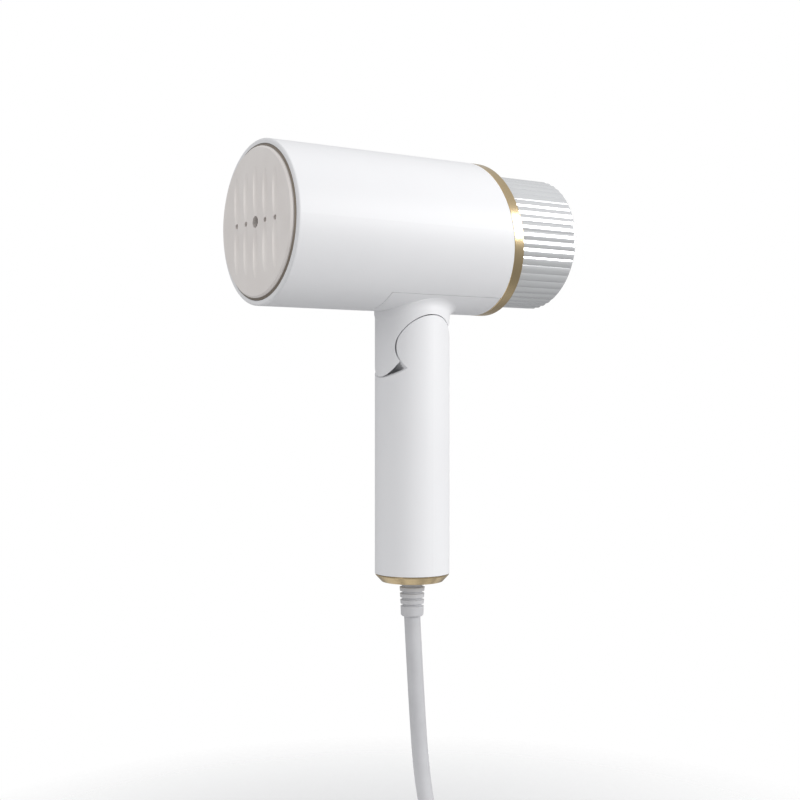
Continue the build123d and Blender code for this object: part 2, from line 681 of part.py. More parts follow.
web_top = drum_radius + 1.8
web_thickness = 3.0
tray_bottom = handle_drop - 6.2
tray_inner = chassis_radius - 2.05
clamp_half = tray_inner - 3.0
with BuildPart() as handle_chassis:
    disc(level(tray_bottom), chassis_radius, tray_bottom + 20)
    lowered = [(y, z - 0.25) for y, z in handle_outline[:2]]
    side_profile(
        lowered + [(0, 0), (0, -rear_shoulder_drop - 0.25), (22.0, -rear_shoulder_drop - 0.25)]
        + handle_outline[-2:],
        30, Mode.INTERSECT, ear=ear_radius - 0.25,
    )
    # Slot for the knuckle, down to the web
    block((-cheek_inner, -30, hinge_z - web_top), (cheek_inner, 30, hinge_z + 30), mode=Mode.SUBTRACT)
    # Open tray for the switch board below the web
    disc(level(tray_bottom), tray_inner, tray_bottom - web_top - web_thickness, mode=Mode.SUBTRACT)
    block(
        (-30, 4.0, hinge_z - tray_bottom), (30, 30, hinge_z - web_top - web_thickness),
        mode=Mode.SUBTRACT,
    )
    # Wire hole through the web
    disc(level(web_top + web_thickness + 1), 4.0, web_thickness + 4, mode=Mode.SUBTRACT)
    disc(hinge_line.offset(-30), pin_radius + 0.02, 60, mode=Mode.SUBTRACT)
    # Seat of the mains lead, for the clamp
    clamp_low, clamp_high = hinge_z - tray_bottom + 1.0, hinge_z - tray_bottom + 9.0
    block((-clamp_half, -10.5, clamp_low), (clamp_half, -0.6, clamp_high))
    disc(Plane.XY.offset(clamp_low - 5), cord_radius + part_gap, 20, mode=Mode.SUBTRACT)
    rods(rearward(-10, (clamp_low + clamp_high) / 2), [(-7.4, 0), (7.4, 0)], 1.2, 12, mode=Mode.SUBTRACT)
handle_chassis.part.label = "handle_chassis"
export_step(handle_chassis.part, "parts/handle_chassis.step")

with BuildPart() as hinge_pin:
    disc(hinge_line.offset(-chassis_radius + 0.3), pin_radius, 2 * chassis_radius - 0.6, pin_bore_radius)
hinge_pin.part.label = "hinge_pin"
export_step(hinge_pin.part, "parts/hinge_pin.step")

cap_top = handle_bottom - seam
cap_bottom = cap_top - cap_depth
cap_floor = 2.2
cap_hole = cord_radius + 1.4  # radius
with BuildPart() as end_cap:
    spun(
        [
            (cap_hole, cap_bottom), (grip_radius - 3.2, cap_bottom), (grip_radius - 0.3, cap_top - 0.5),
            (grip_radius - 0.3, cap_top), (chassis_radius, cap_top), (chassis_radius, cap_top + 5.0),
            (chassis_radius - 2.0, cap_top + 5.0), (chassis_radius - 2.0, cap_bottom + cap_floor),
            (cap_hole, cap_bottom + cap_floor),
        ],
        "z",
    )
    bottom_edge = end_cap.edges().filter_by(GeomType.CIRCLE).group_by(Axis.Z)[0]
    fillet(bottom_edge.sort_by(SortBy.RADIUS)[-1], radius=0.6)
end_cap.part.label = "end_cap"
export_step(end_cap.part, "parts/end_cap.step")

relief_bottom = cap_bottom - relief_length
rib_pitch = 2.3
with BuildPart() as strain_relief:
    disc(Plane.XY.offset(relief_bottom), relief_radius - 0.7, relief_length + cap_floor + 0.5)
    disc(Plane.XY.offset(cap_bottom + cap_floor + part_gap), 8.0, 2.0)
    for rib in range(relief_ribs):
        top = cap_bottom - part_gap - rib * rib_pitch
        disc(Plane.XY.offset(top - rib_pitch + 0.8), relief_radius, rib_pitch - 0.8)
    disc(Plane.XY.offset(relief_bottom + 0.8), relief_radius - 0.2, 3.4)
    disc(Plane.XY.offset(relief_bottom - 1), cord_radius + part_gap, 40, mode=Mode.SUBTRACT)
    # Waist that sits in the cap's hole
    spun(
        [
            (cap_hole - part_gap, cap_bottom - part_gap / 2), (12, cap_bottom - part_gap / 2),
            (12, cap_bottom + cap_floor + part_gap), (cap_hole - part_gap, cap_bottom + cap_floor + part_gap),
        ],
        "z", mode=Mode.SUBTRACT,
    )
strain_relief.part.label = "strain_relief"
export_step(strain_relief.part, "parts/strain_relief.step")

with BuildPart() as lead_in:
    disc(Plane.XY.offset(relief_bottom), cord_radius, clamp_high + 0.8 - relief_bottom)
lead_in.part.label = "lead_in"
export_step(lead_in.part, "parts/lead_in.step")

with BuildPart() as cord_clamp:
    block((-clamp_half, 0.4, clamp_low + 1), (clamp_half, 6.2, clamp_high - 1))
    disc(Plane.XY.offset(clamp_low - 5), cord_radius + part_gap, 20, mode=Mode.SUBTRACT)
    rods(rearward(-10, (clamp_low + clamp_high) / 2), [(-7.4, 0), (7.4, 0)], 1.3, 22, mode=Mode.SUBTRACT)
cord_clamp.part.label = "cord_clamp"
export_step(cord_clamp.part, "parts/cord_clamp.step")

with BuildPart() as clamp_screws:
    for x in (-7.4, 7.4):
        screw = Plane(origin=(x, 0, (clamp_low + clamp_high) / 2), x_dir=(1, 0, 0), z_dir=(0, 1, 0))
        disc(screw.offset(-9.5), 1.15, 15.8)
        disc(screw.offset(6.2 + part_gap), 2.2, 1.6)
clamp_screws.part.label = "clamp_screws"
export_step(clamp_screws.part, "parts/clamp_screws.step")

# ---------------------------------------------------------------- handle: switches and buttons
board_y = -1.0
board_thickness = 1.6
board_half = tray_inner - 1.9
carrier_half = board_half - 0.5
board_face = board_y + board_thickness
board_top = hinge_z - web_top - web_thickness - 1.5
board_bottom = clamp_high + 1.2
with BuildPart() as switch_board:
    block((-board_half, board_y, board_bottom), (board_half, board_face, board_top))
switch_board.part.label = "switch_board"
export_step(switch_board.part, "parts/switch_board.step")

switch_size = (6.0, 6.0, 12.6)
plunger_height = 1.0


def microswitch(z):
    """Snap-action switch on the board, with its plunger."""
    block(
        (-switch_size[0] / 2, board_face + part_gap, z - switch_size[2] / 2),
        (switch_size[0] / 2, board_face + switch_size[1], z + switch_size[2] / 2),
    )
    disc(rearward(board_face + switch_size[1] - 0.5, z), 1.0, plunger_height + 0.5)


with BuildPart() as steam_switch:
    microswitch(steam_z)
steam_switch.part.label = "steam_switch"
export_step(steam_switch.part, "parts/steam_switch.step")

with BuildPart() as power_switch:
    microswitch(power_z)
power_switch.part.label = "power_switch"
export_step(power_switch.part, "parts/power_switch.step")

plunger_top = board_face + switch_size[1] + plunger_height
carrier_y = plunger_top + 0.6
carrier_thickness = 1.2
carrier_face = carrier_y + carrier_thickness
stem_radius = 2.4
with BuildPart() as button_carrier:
    block((-carrier_half, carrier_y, board_bottom + 3.0), (carrier_half, carrier_face, board_top - 2.0))
    # Side rails down to the board
    for side in (-1, 1):
        x = side * (carrier_half - 1.0)
        block((x - 1.0, board_face + part_gap, board_bottom + 3.0), (x + 1.0, carrier_y + 0.2, board_top - 2.0))
    for z in (steam_z, power_z):
        disc(rearward(carrier_y - 1, z), stem_radius + 0.15, 5, mode=Mode.SUBTRACT)
    disc(rearward(carrier_y - 1, indicator_z), 1.7, 5, mode=Mode.SUBTRACT)
button_carrier.part.label = "button_carrier"
export_step(button_carrier.part, "parts/button_carrier.step")

flange_y = carrier_face + 2.6  # underside of the buttons' flanges
flange_thickness = 1.2


def button(z, width, height, round_radius, travel):
    """Push button: cap that follows the grip, retaining flange and stem."""
    with BuildSketch(rearward(flange_y, z)) as face:
        RectangleRounded(width, height, round_radius)
    extrude(face.sketch, amount=20)
    with BuildSketch(level(handle_drop)) as round_front:
        Circle(grip_radius + button_proud)
    extrude(round_front.sketch, amount=handle_drop, mode=Mode.INTERSECT)
    with BuildSketch(rearward(flange_y, z)) as flange:
        RectangleRounded(width + 1.6, height + 1.6, round_radius + 0.8)
    extrude(flange.sketch, amount=flange_thickness)
    disc(rearward(plunger_top + travel + 0.1, z), stem_radius, flange_y - plunger_top - travel + 0.4)


with BuildPart() as steam_button:
    button(steam_z, *steam_button_size, steam_button_size[0] / 2 - 0.01, steam_travel)
steam_button.part.label = "steam_button"
export_step(steam_button.part, "parts/steam_button.step")

with BuildPart() as power_button:
    size = 2 * power_button_radius
    button(power_z, size, size, power_button_radius - 0.01, power_travel)
power_button.part.label = "power_button"
export_step(power_button.part, "parts/power_button.step")

with BuildPart() as steam_button_spring:
    spring((0, carrier_face + 0.35, steam_z), (0, 1, 0), 3.3, 0.25, 1.85, 2.5)
steam_button_spring.part.label = "steam_button_spring"
export_step(steam_button_spring.part, "parts/steam_button_spring.step")

with BuildPart() as power_button_spring:
    spring((0, carrier_face + 0.35, power_z), (0, 1, 0), 3.3, 0.25, 1.85, 2.5)
power_button_spring.part.label = "power_button_spring"
export_step(power_button_spring.part, "parts/power_button_spring.step")

with BuildPart() as indicator_lens:
    disc(rearward(carrier_face + 0.2, indicator_z), indicator_radius + 0.5, 2.0)
    disc(rearward(carrier_face + 0.2, indicator_z), indicator_radius, grip_radius + 0.15 - carrier_face - 0.2)
indicator_lens.part.label = "indicator_lens"
export_step(indicator_lens.part, "parts/indicator_lens.step")

# ---------------------------------------------------------------- mains lead
# The lead hangs from the strain relief, bends on to the ground and runs into its coil.
lead_level = ground_level + cord_radius
drop_route = [
    (0, 0, relief_bottom), (1.05, 1.6, -103.5), (2.5, 3.7, -141), (5.4, 7.1, -164),
    (12.9, 16.8, -182.8), (23.5, 29.7, -193), (35, 44.3, lead_level), (42, 53, lead_level),
]
with BuildPart() as cord_drop:
    lead(drop_route, cord_radius)
cord_drop.part.label = "cord_drop"
export_step(cord_drop.part, "parts/cord_drop.step")

cord_pitch = 2 * cord_radius
coil_width = coil_turns_wide * cord_pitch
coil_height = coil_turns_high * cord_pitch
with BuildPart() as cord_coil:
    with BuildSketch(Plane(origin=(*coil_centre, 0), x_dir=(1, 0, 0), z_dir=(0, -1, 0))) as section:
        with Locations((coil_radius, ground_level + coil_height / 2)):
            RectangleRounded(coil_width, coil_height, cord_radius - 0.1)
    revolve(section.sketch, axis=Axis((*coil_centre, 0), (0, 0, 1)))
cord_coil.part.label = "cord_coil"
export_step(cord_coil.part, "parts/cord_coil.step")

plug_level = ground_level + plug_size[1] / 2
tail_route = [
    (-48.3, 84, ground_level + coil_height - cord_radius), (-48.2, 58, -192.4), (-46.6, 31, lead_level),
    (-41.8, 6, lead_level + 0.4), (-34.5, -17, plug_level),
]
with BuildPart() as cord_tail:
    lead(tail_route, cord_radius)
cord_tail.part.label = "cord_tail"
export_step(cord_tail.part, "parts/cord_tail.step")

tie_angle = 65.0  # round the coil, from +X
tie_width = 10.0
tie_thickness = 0.8
tie_gap = 0.1
tie_place = (
    coil_centre[0] + coil_radius * cos(radians(tie_angle)),
    coil_centre[1] + coil_radius * sin(radians(tie_angle)),
    ground_level + coil_height / 2,
)
with BuildPart() as coil_tie:
    turn_plane = Plane(
        origin=tie_place, x_dir=(cos(radians(tie_angle)), sin(radians(tie_angle)), 0),
        z_dir=(-sin(radians(tie_angle)), cos(radians(tie_angle)), 0),
    )
    inside = (coil_width + 2 * tie_gap + 0.6, coil_height + 2 * tie_gap)
    with BuildSketch(turn_plane.offset(-tie_width / 2)) as band:
        RectangleRounded(inside[0] + 2 * tie_thickness, inside[1] + 2 * tie_thickness, 3.4)
        RectangleRounded(*inside, 2.6, mode=Mode.SUBTRACT)
    extrude(band.sketch, amount=tie_width)
coil_tie.part.label = "coil_tie"
export_step(coil_tie.part, "parts/coil_tie.step")

# Plug: its cord end points back along the lead's last run.
last_run = Vector(*tail_route[-1]) - Vector(*tail_route[-2])
plug_along = Vector(last_run.X, last_run.Y, 0).normalized()
plug_relief = 20.0
blade_size = (1.5, 6.3, 17.0)
blade_pitch = 12.7
plug_plane = Plane(
    origin=tail_route[-1], x_dir=(-plug_along.Y, plug_along.X, 0), z_dir=tuple(plug_along)
)
with BuildPart() as plug_body:
    with BuildSketch(plug_plane) as small_end:
        Circle(cord_radius + 1.0)
    with BuildSketch(plug_plane.offset(plug_relief)) as large_end:
        RectangleRounded(plug_size[0] * 0.62, plug_size[1] * 0.72, 5.0)
    loft([small_end.sketch, large_end.sketch])
    with BuildSketch(plug_plane.offset(plug_relief - 0.05)) as grip:
        RectangleRounded(plug_size[0], plug_size[1], 6.0)
    extrude(grip.sketch, amount=plug_size[2])
plug_body.part.label = "plug_body"
export_step(plug_body.part, "parts/plug_body.step")

with BuildPart() as plug_pins:
    with BuildSketch(plug_plane.offset(plug_relief + plug_size[2])) as blades:
        with Locations((-blade_pitch / 2, 0), (blade_pitch / 2, 0)):
            Rectangle(blade_size[0], blade_size[1])
    extrude(blades.sketch, amount=blade_size[2])
    chamfer(plug_pins.edges().group_by(Axis(plug_plane.origin, plug_along))[-1], length=0.4)
plug_pins.part.label = "plug_pins"
export_step(plug_pins.part, "parts/plug_pins.step")
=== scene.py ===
# %% [markdown]
# # A handheld garment steamer, built around its CAD frame
# The frame is a imported CAD model: every part is already in its place, in metres, with +Z up. The origin is
# the middle of the grip, the steam plate faces -Y and the water tank is at +Y. This lesson gives the parts
# their finishes, models the pieces whose shape wants more than CAD gave them, lays the mains lead, and
# sets up a small studio. We start by loading the frame.

# %% Load the frame
import json
from math import cos, pi, radians, sin

import bmesh
import bpy
from mathutils import Matrix, Vector


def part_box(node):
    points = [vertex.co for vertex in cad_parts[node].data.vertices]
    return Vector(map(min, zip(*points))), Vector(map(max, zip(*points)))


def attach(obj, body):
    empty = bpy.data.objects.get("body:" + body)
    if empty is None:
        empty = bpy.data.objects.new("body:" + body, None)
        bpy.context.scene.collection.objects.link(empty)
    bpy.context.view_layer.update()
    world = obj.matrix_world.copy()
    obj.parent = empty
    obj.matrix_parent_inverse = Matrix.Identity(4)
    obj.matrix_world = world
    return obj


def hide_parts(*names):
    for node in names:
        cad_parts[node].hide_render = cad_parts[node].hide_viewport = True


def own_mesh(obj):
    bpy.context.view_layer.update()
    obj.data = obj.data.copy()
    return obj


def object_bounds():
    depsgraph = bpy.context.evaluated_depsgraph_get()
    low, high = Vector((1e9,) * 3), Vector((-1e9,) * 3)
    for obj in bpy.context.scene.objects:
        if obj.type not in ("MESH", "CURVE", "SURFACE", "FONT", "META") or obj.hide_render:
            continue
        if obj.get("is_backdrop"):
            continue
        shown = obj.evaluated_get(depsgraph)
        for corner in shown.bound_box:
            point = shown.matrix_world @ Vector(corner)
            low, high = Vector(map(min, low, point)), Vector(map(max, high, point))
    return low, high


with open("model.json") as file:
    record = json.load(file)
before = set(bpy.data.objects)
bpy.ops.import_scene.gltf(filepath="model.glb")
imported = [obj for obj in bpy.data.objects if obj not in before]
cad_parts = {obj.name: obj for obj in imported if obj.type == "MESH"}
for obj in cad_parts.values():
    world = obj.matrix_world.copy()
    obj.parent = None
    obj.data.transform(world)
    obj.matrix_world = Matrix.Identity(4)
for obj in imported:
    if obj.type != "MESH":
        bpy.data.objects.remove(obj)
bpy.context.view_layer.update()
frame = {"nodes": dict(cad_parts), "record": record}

# %% [markdown]
# ## Where things are
# A few places are worked out from the frame's boxes, so that the pieces follow the CAD if its sizes change:
# the barrel's axis runs along Y through the middle of its shell, and the handle's axis is Z itself.

# %% Places read from the frame
barrel_low, barrel_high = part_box("barrel_shell")
barrel_z = (barrel_low.z + barrel_high.z) / 2
barrel_radius = (barrel_high.x - barrel_low.x) / 2
handle_low, handle_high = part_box("handle_shell")
grip_radius = (handle_high.x - handle_low.x) / 2
coil_low, coil_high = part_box("cord_coil")
ground = coil_low.z
print(f"barrel axis at z = {barrel_z:.4f}, radius {barrel_radius:.4f}, grip radius {grip_radius:.4f}")
print(f"the put-away lead lies on z = {ground:.4f}")

# %% [markdown]
# ## The camera
# The view is level and looks at the steamer from its front right, with a short telephoto lens, so that the
# round ends show as slim ellipses. The camera stands a given distance from an aim point a little below
# the barrel, and looks at it.

# %% Camera
view_azimuth = radians(56.7)
view_distance = 0.6017
view_height = 0.0359
aim_aside = -0.0057
forward = Vector((-sin(view_azimuth), cos(view_azimuth), 0))
aside = Vector((cos(view_azimuth), sin(view_azimuth), 0))
camera_data = bpy.data.cameras.new("camera")
camera_data.lens = 57.7
camera_data.clip_start = 0.02
camera = bpy.data.objects.new("camera", camera_data)
camera.location = aside * aim_aside - forward * view_distance + Vector((0, 0, view_height))
camera.rotation_euler = forward.to_track_quat("-Z", "Y").to_euler()
bpy.context.scene.collection.objects.link(camera)
bpy.context.scene.camera = camera
print("camera at", [round(c, 3) for c in camera.location])

# %% [markdown]
# ## A kit for finishes
# Real plastic, rubber and metal are never one flat value. Each finish here is a Principled shader whose
# colour drifts a little through soft noise, whose gloss varies a little too, and whose surface has a fine
# grain as bump. One function wires those nodes, and each finish below calls it with its own numbers.
# Values that are the same all over, such as metalness or clear coat, go straight on the shader's sockets.

# %% Finish maker
def finish(name, light, dark, gloss, drift=18.0, grain=0.02, grain_size=900.0, **shader):
    """Material with drifting colour and roughness, and a fine grain. gloss: lowest and highest roughness."""
    material = bpy.data.materials.new(name)
    material.use_nodes = True
    nodes, links = material.node_tree.nodes, material.node_tree.links
    surface = nodes["Principled BSDF"]
    place = nodes.new("ShaderNodeTexCoord")
    cloud = nodes.new("ShaderNodeTexNoise")
    cloud.inputs["Scale"].default_value = drift
    cloud.inputs["Detail"].default_value = 3.0
    links.new(place.outputs["Object"], cloud.inputs["Vector"])
    tint = nodes.new("ShaderNodeValToRGB")
    tint.color_ramp.elements[0].position, tint.color_ramp.elements[1].position = 0.3, 0.7
    tint.color_ramp.elements[0].color = (*dark, 1)
    tint.color_ramp.elements[1].color = (*light, 1)
    links.new(cloud.outputs["Fac"], tint.inputs["Fac"])
    links.new(tint.outputs["Color"], surface.inputs["Base Color"])
    dull = nodes.new("ShaderNodeMapRange")
    dull.inputs["To Min"].default_value, dull.inputs["To Max"].default_value = gloss
    links.new(cloud.outputs["Fac"], dull.inputs["Value"])
    links.new(dull.outputs["Result"], surface.inputs["Roughness"])
    speck = nodes.new("ShaderNodeTexNoise")
    speck.inputs["Scale"].default_value = grain_size
    speck.inputs["Detail"].default_value = 2.0
    links.new(place.outputs["Object"], speck.inputs["Vector"])
    bump = nodes.new("ShaderNodeBump")
    bump.inputs["Strength"].default_value = grain
    bump.inputs["Distance"].default_value = 0.0002
    links.new(speck.outputs["Fac"], bump.inputs["Height"])
    links.new(bump.outputs["Normal"], surface.inputs["Normal"])
    for socket, value in shader.items():
        surface.inputs[socket.replace("_", " ")].default_value = value
    return material


# %% [markdown]
# ## The finishes
# The covers are white moulded plastic with a soft satin gloss. The steam plate has a warm pale ceramic
# coat. The trim ring and the cap are champagne gold. The tank has a bright silver look under a clear coat.
# Inside are steel, silicone, black switches, a green board and a cast chamber dark with scale.

# %% Finishes by the record's slots
finishes = {
    "white_shell": finish(
        "white_shell", (0.9, 0.9, 0.91), (0.88, 0.88, 0.893), (0.44, 0.52),
        grain=0.03, Coat_Weight=0.12, Coat_Roughness=0.4, Specular_IOR_Level=0.45,
    ),
    "pale_collar": finish(
        "pale_collar", (0.34, 0.29, 0.24), (0.27, 0.23, 0.19), (0.3, 0.4), grain=0.05, Metallic=0.7,
    ),
    "plate_ceramic": finish(
        "plate_ceramic", (0.93, 0.885, 0.85), (0.88, 0.83, 0.795), (0.38, 0.48),
        drift=60.0, grain=0.06, grain_size=1600.0, Metallic=0.15, Coat_Weight=0.15,
    ),
    "gold_trim": finish(
        "gold_trim", (0.72, 0.57, 0.35), (0.64, 0.5, 0.29), (0.2, 0.27), grain=0.02, Metallic=1.0,
    ),
    "tank_silver": finish(
        "tank_silver", (0.85, 0.86, 0.87), (0.8, 0.81, 0.82), (0.1, 0.16),
        grain=0.01, Metallic=0.55, Coat_Weight=0.8, Coat_Roughness=0.05,
    ),
    "tank_inner": finish("tank_inner", (0.6, 0.61, 0.62), (0.55, 0.56, 0.57), (0.3, 0.4)),
    "dark_plastic": finish("dark_plastic", (0.03, 0.03, 0.032), (0.02, 0.02, 0.022), (0.5, 0.6), grain=0.15),
    "dock_grey": finish("dock_grey", (0.2, 0.21, 0.22), (0.16, 0.17, 0.18), (0.45, 0.55), grain=0.1),
    "steel": finish("steel", (0.6, 0.61, 0.62), (0.5, 0.51, 0.52), (0.25, 0.35), grain=0.04, Metallic=1.0),
    "cast_aluminium": finish(
        "cast_aluminium", (0.06, 0.052, 0.045), (0.025, 0.022, 0.02), (0.6, 0.75),
        grain=0.3, grain_size=500.0, Metallic=0.6,
    ),
    "element_steel": finish(
        "element_steel", (0.4, 0.35, 0.3), (0.26, 0.22, 0.2), (0.35, 0.5), drift=70.0, Metallic=1.0,
    ),
    "silicone": finish(
        "silicone", (0.72, 0.72, 0.69), (0.64, 0.64, 0.6), (0.4, 0.5), Subsurface_Weight=0.2,
    ),
    "seal_rubber": finish(
        "seal_rubber", (0.025, 0.025, 0.028), (0.015, 0.015, 0.017), (0.55, 0.7), grain=0.1,
    ),
    "switch_board": finish("switch_board", (0.03, 0.16, 0.07), (0.02, 0.11, 0.05), (0.3, 0.4), drift=120.0),
    "switch_black": finish(
        "switch_black", (0.02, 0.02, 0.022), (0.012, 0.012, 0.014), (0.35, 0.5), grain=0.08,
    ),
    "button_grey": finish("button_grey", (0.68, 0.68, 0.7), (0.63, 0.63, 0.65), (0.3, 0.4), grain=0.04),
    "lens_amber": finish(
        "lens_amber", (0.9, 0.82, 0.7), (0.85, 0.76, 0.62), (0.08, 0.14), Transmission_Weight=0.5,
    ),
    "cord_grey": finish(
        "cord_grey", (0.62, 0.62, 0.635), (0.57, 0.57, 0.585), (0.35, 0.45), drift=90.0, grain=0.05,
    ),
    "tie_dark": finish(
        "tie_dark", (0.035, 0.035, 0.038), (0.02, 0.02, 0.022), (0.8, 0.95), grain=0.6, grain_size=2500.0,
    ),
    "plug_grey": finish("plug_grey", (0.6, 0.6, 0.615), (0.56, 0.56, 0.575), (0.35, 0.45), grain=0.06),
    "pin_metal": finish("pin_metal", (0.72, 0.66, 0.5), (0.6, 0.54, 0.4), (0.25, 0.35), Metallic=1.0),
}
for part in frame["record"]["subparts"]:
    node = frame["nodes"][part["node"]]
    for slot in node.material_slots:
        slot.material = finishes[part["material_slot"]]
print(len(finishes), "finishes on", len(frame["nodes"]), "nodes")

# %% [markdown]
# ## The mains lead
# A lead is one length of round flexible cable. It leaves the strain relief, hangs a little, bends on to
# the ground, runs into a put-away coil tied for storage, and ends in its plug. A NURBS curve with a round
# bevel is the natural way: a few listed control points for the loose stretches, and a loop for the
# turns of the coil, two layers of three turns that lie side by side.

# %% Route of the lead
relief_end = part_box("strain_relief")[0].z
lead_radius = 0.0038
lead_level = ground + lead_radius
drop_route = [
    (0, 0, relief_end), (0.00105, 0.0016, -0.1035), (0.0025, 0.0037, -0.141), (0.0054, 0.0071, -0.164),
    (0.0129, 0.0168, -0.1828), (0.0235, 0.0297, -0.193), (0.035, 0.0443, lead_level),
    (0.042, 0.053, lead_level),
]
upper_level = lead_level + 2 * lead_radius
plug_level = ground + 0.0085
tail_route = [
    (-0.0483, 0.084, upper_level), (-0.0482, 0.058, -0.1924), (-0.0466, 0.031, lead_level),
    (-0.0418, 0.006, lead_level + 0.0004), (-0.0345, -0.017, plug_level),
]

coil_middle = (coil_low + coil_high) / 2
turn_radii = (0.0506, 0.043, 0.0354)  # the three turns of a layer, a lead's width apart
first_angle = radians(-38.6)
last_angle = radians(180 + 5 * 360)
points_per_turn = 16
move_over = 0.25  # share of a turn in which the lead moves to its next place


def coil_place(turns):
    """Radius and height of the coil after this many turns: inwards below, then outwards above."""
    places = [(r, lead_level) for r in turn_radii] + [(r, upper_level) for r in reversed(turn_radii)]
    whole = int(turns)
    here, after = places[whole], places[min(whole + 1, len(places) - 1)]
    share = max(0.0, (turns - whole - 1 + move_over) / move_over)
    share = share * share * (3 - 2 * share)
    return here[0] + (after[0] - here[0]) * share, here[1] + (after[1] - here[1]) * share


coil_route = []
coil_turns = (last_angle - first_angle) / (2 * pi)
coil_steps = round(coil_turns * points_per_turn)
for step in range(1, coil_steps):
    turns = coil_turns * step / coil_steps
    radius, height = coil_place(turns)
    angle = first_angle + 2 * pi * turns
    coil_route.append((coil_middle.x + radius * cos(angle), coil_middle.y + radius * sin(angle), height))
print("points in the lead:", len(drop_route) + len(coil_route) + len(tail_route))

# %% [markdown]
# ## Pieces on the lead
# Three pieces get a finer shape than the CAD gave them: the ribbed sleeve that keeps the lead from kinking at
# the handle, the moulded plug and the strap round the coil. Each starts as a bmesh, is shaped by operators
# in its place, and then stands for its CAD node. One helper does what they share.

# %% Helper for new pieces
slots = {part["node"]: part["material_slot"] for part in frame["record"]["subparts"]}


def stand_in(bm, node, body):
    """Object made from this bmesh that rides on the body, shown instead of the CAD node, in its finish."""
    bmesh.ops.remove_doubles(bm, verts=bm.verts, dist=1e-7)
    bmesh.ops.recalc_face_normals(bm, faces=bm.faces)
    for face in bm.faces:
        face.smooth = True
    mesh = bpy.data.meshes.new(node + "_shape")
    bm.to_mesh(mesh)
    bm.free()
    mesh.set_sharp_from_angle(angle=radians(38))
    mesh.materials.append(finishes[slots[node]])
    piece = bpy.data.objects.new(node + "_shape", mesh)
    bpy.context.scene.collection.objects.link(piece)
    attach(piece, body)
    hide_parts(node)
    print(node, "modelled with", len(mesh.polygons), "faces")
    return piece


# %% [markdown]
# The sleeve is turned: its half outline is drawn in a few points and spun round the handle's axis. Four
# grooves make it bend evenly, and a plain end runs on down the lead.

# %% Strain relief
cap_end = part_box("end_cap")[0].z
relief_low, relief_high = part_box("strain_relief")
sleeve_top, sleeve_bottom = 0.0059, 0.0053  # radii of the sleeve's two ends
flange_radius = 0.0079  # stays behind the cap's floor
waist_radius = 0.0051  # in the cap's hole
floor_top = cap_end + 0.0023
grooves = 4
groove_pitch = 0.00295
groove_depth = 0.0011
groove_width = 0.0012
groove_slope = 0.0003
first_groove = 0.0016  # below the cap
end_round = 0.0006
outline = [(0, relief_high.z), (flange_radius, relief_high.z), (flange_radius, floor_top)]
outline += [(waist_radius, floor_top), (waist_radius, cap_end), (sleeve_top, cap_end - 0.0001)]
for groove in range(grooves):
    top = cap_end - first_groove - groove * groove_pitch
    edge = sleeve_top + (sleeve_bottom - sleeve_top) * groove / grooves
    inside = edge - groove_depth
    outline += [(edge, top), (inside, top - groove_slope)]
    outline += [(inside, top - groove_width + groove_slope), (edge, top - groove_width)]
outline += [(sleeve_bottom, relief_low.z + end_round), (sleeve_bottom - end_round, relief_low.z)]
outline += [(0, relief_low.z)]
bm = bmesh.new()
corners = [bm.verts.new((r, 0, z)) for r, z in outline]
half = [bm.edges.new(pair) for pair in zip(corners, corners[1:])]
bmesh.ops.spin(
    bm, geom=corners + half, cent=(0, 0, 0), axis=(0, 0, 1), angle=2 * pi, steps=64, use_merge=True,
)
strain_relief = stand_in(bm, "strain_relief", "handle")

# %% [markdown]
# The plug starts as a cube with rounded long edges. The face on the lead's side is then drawn out in
# steps, first into a shoulder, then into a ribbed tail that meets the lead.

# %% Plug
plug_width, plug_height, plug_length = 0.024, 0.017, 0.031
side_round, front_round = 0.0062, 0.0009
tail_length = 0.02
plug_from, plug_to = Vector(tail_route[-2]), Vector(tail_route[-1])
plug_way = Vector((plug_to.x - plug_from.x, plug_to.y - plug_from.y, 0)).normalized()
plug_side = Vector((-plug_way.y, plug_way.x, 0))
bm = bmesh.new()
bmesh.ops.create_cube(bm, size=1.0)
bmesh.ops.scale(bm, vec=(plug_width, plug_length, plug_height), verts=bm.verts)
long_edges = [e for e in bm.edges if abs(e.verts[0].co.y - e.verts[1].co.y) > plug_length / 2]
bmesh.ops.bevel(
    bm, geom=long_edges, offset=side_round, segments=8, affect="EDGES", profile=0.5, material=-1,
)


def draw_out(bm, face, advance, wide, high):
    """The face moved along -Y by this much, with new sides, and scaled about its middle."""
    face = bmesh.ops.extrude_discrete_faces(bm, faces=[face])["faces"][0]
    bmesh.ops.translate(bm, vec=(0, -advance, 0), verts=face.verts)
    middle = face.calc_center_median()
    bmesh.ops.scale(
        bm, vec=(wide, 1, high), verts=face.verts, space=Matrix.Translation(-middle),
    )
    return face


